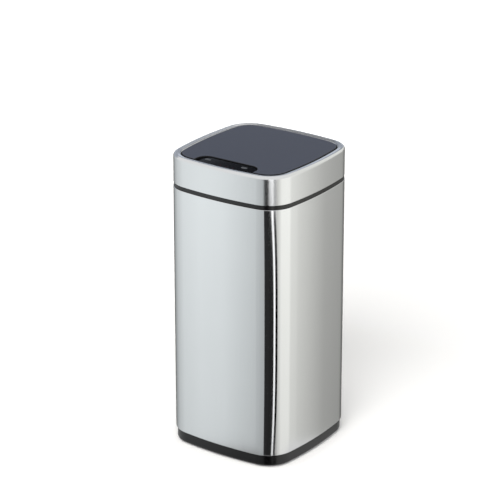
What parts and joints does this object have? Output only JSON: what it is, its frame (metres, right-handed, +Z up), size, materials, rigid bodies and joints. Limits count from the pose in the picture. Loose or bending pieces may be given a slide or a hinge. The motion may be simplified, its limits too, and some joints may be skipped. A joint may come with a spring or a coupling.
{
  "type": "sensor trash can",
  "caption": "Square-plan kitchen bin with bulged steel sides, a black base and a lift-off powered head with a hinged lid.",
  "frame": {"origin": "middle of the base's underside, on the surface the bin stands on", "axes": "+Z up, -Y towards the sensor side, +X to the right when facing the sensor side from the front"},
  "size_m": [0.2998, 0.2998, 0.646],
  "materials": {
    "brushed_steel": "vertical brushed stainless",
    "black_plastic": "satin moulded",
    "lid_plastic": "satin moulded, fine texture",
    "console_plastic": "polished",
    "key_plastic": "satin",
    "gear_plastic": "natural acetal",
    "zinc_steel": "zinc plated",
    "ground_steel": "ground bar",
    "brass": "machined",
    "motor_steel": "plated can",
    "rubber": "matte",
    "circuit_board": "solder mask",
    "diode": "clear tinted epoxy",
    "cell_wrap": "plain plastic sleeve",
    "spring_steel": "nickel plated",
    "lead_sleeve": "matte sleeve"
  },
  "bodies": {
    "bin": {"body_shell": "brushed_steel", "base_ring": "black_plastic", "base_tray": "black_plastic", "foot_pads": "rubber", "base_screws": "zinc_steel"},
    "ring": {"bag_ring": "black_plastic"},
    "head": {"head_collar": "brushed_steel", "head_frame": "black_plastic", "lid_bumpers": "rubber", "sensor_console": "console_plastic", "control_board": "circuit_board", "console_screws": "zinc_steel", "sensor_diodes": "diode", "board_parts": "key_plastic", "bush_left": "gear_plastic", "bush_right": "gear_plastic", "gearbox_case": "black_plastic", "gearbox_cover": "black_plastic", "gear_axles": "ground_steel", "drive_motor": "motor_steel", "battery_box": "black_plastic", "battery_cells": "cell_wrap", "battery_contacts": "spring_steel", "switch_housing": "black_plastic", "head_screws": "zinc_steel", "wiring_loom": "lead_sleeve"},
    "lid": {"lid_panel": "lid_plastic", "lid_liner": "black_plastic", "lid_screws": "zinc_steel", "hinge_shaft": "ground_steel", "lid_sector": "black_plastic"},
    "low_gear": {"compound_gear_low": "gear_plastic"},
    "high_gear": {"compound_gear_high": "gear_plastic"},
    "rotor": {"motor_pinion": "brass", "motor_shaft": "ground_steel"},
    "open_key": {"open_button": "key_plastic"},
    "close_key": {"close_button": "key_plastic"},
    "door": {"battery_door": "black_plastic"},
    "rocker": {"power_rocker": "key_plastic"}
  },
  "joints": [
    {"name": "ring_lift", "type": "slide", "parent": "bin", "child": "ring", "axis": [0, 0, 1], "range_m": [0, 0.1]},
    {"name": "head_lift", "type": "slide", "parent": "ring", "child": "head", "axis": [0, 0, 1], "range_m": [0, 0.12]},
    {"name": "lid_hinge", "type": "hinge", "parent": "head", "child": "lid", "pos_m": [0, 0.086, 0.6355], "axis": [-1, 0, 0], "range_deg": [0, 72]},
    {"name": "low_gear_turn", "type": "hinge", "parent": "head", "child": "low_gear", "pos_m": [0, 0.07217, 0.60444], "axis": [-1, 0, 0], "range_deg": [-337, 0]},
    {"name": "high_gear_turn", "type": "hinge", "parent": "head", "child": "high_gear", "pos_m": [0, 0.06116, 0.58871], "axis": [-1, 0, 0], "range_deg": [0, 1009]},
    {"name": "rotor_turn", "type": "hinge", "parent": "head", "child": "rotor", "pos_m": [0, 0.06629, 0.57462], "axis": [-1, 0, 0], "range_deg": [-4033, 0]},
    {"name": "open_press", "type": "slide", "parent": "head", "child": "open_key", "axis": [0, 0.1379, -0.9904], "range_m": [0, 0.0008], "stiffness_N_per_m": 400, "springref_m": -0.001},
    {"name": "close_press", "type": "slide", "parent": "head", "child": "close_key", "axis": [0, 0.1379, -0.9904], "range_m": [0, 0.0008], "stiffness_N_per_m": 400, "springref_m": -0.001},
    {"name": "battery_door_hinge", "type": "hinge", "parent": "head", "child": "door", "pos_m": [0, 0.1264, 0.55443], "axis": [1, 0, 0], "range_deg": [0, 95]},
    {"name": "power_rock", "type": "hinge", "parent": "head", "child": "rocker", "pos_m": [0.105, 0.062, 0.5699], "axis": [-1, 0, 0], "range_deg": [0, 20]}
  ],
  "couplings": [
    {"joint": "low_gear_turn", "follows": "lid_hinge", "ratio": -4.6667},
    {"joint": "high_gear_turn", "follows": "lid_hinge", "ratio": 14},
    {"joint": "rotor_turn", "follows": "lid_hinge", "ratio": -56}
  ]
}
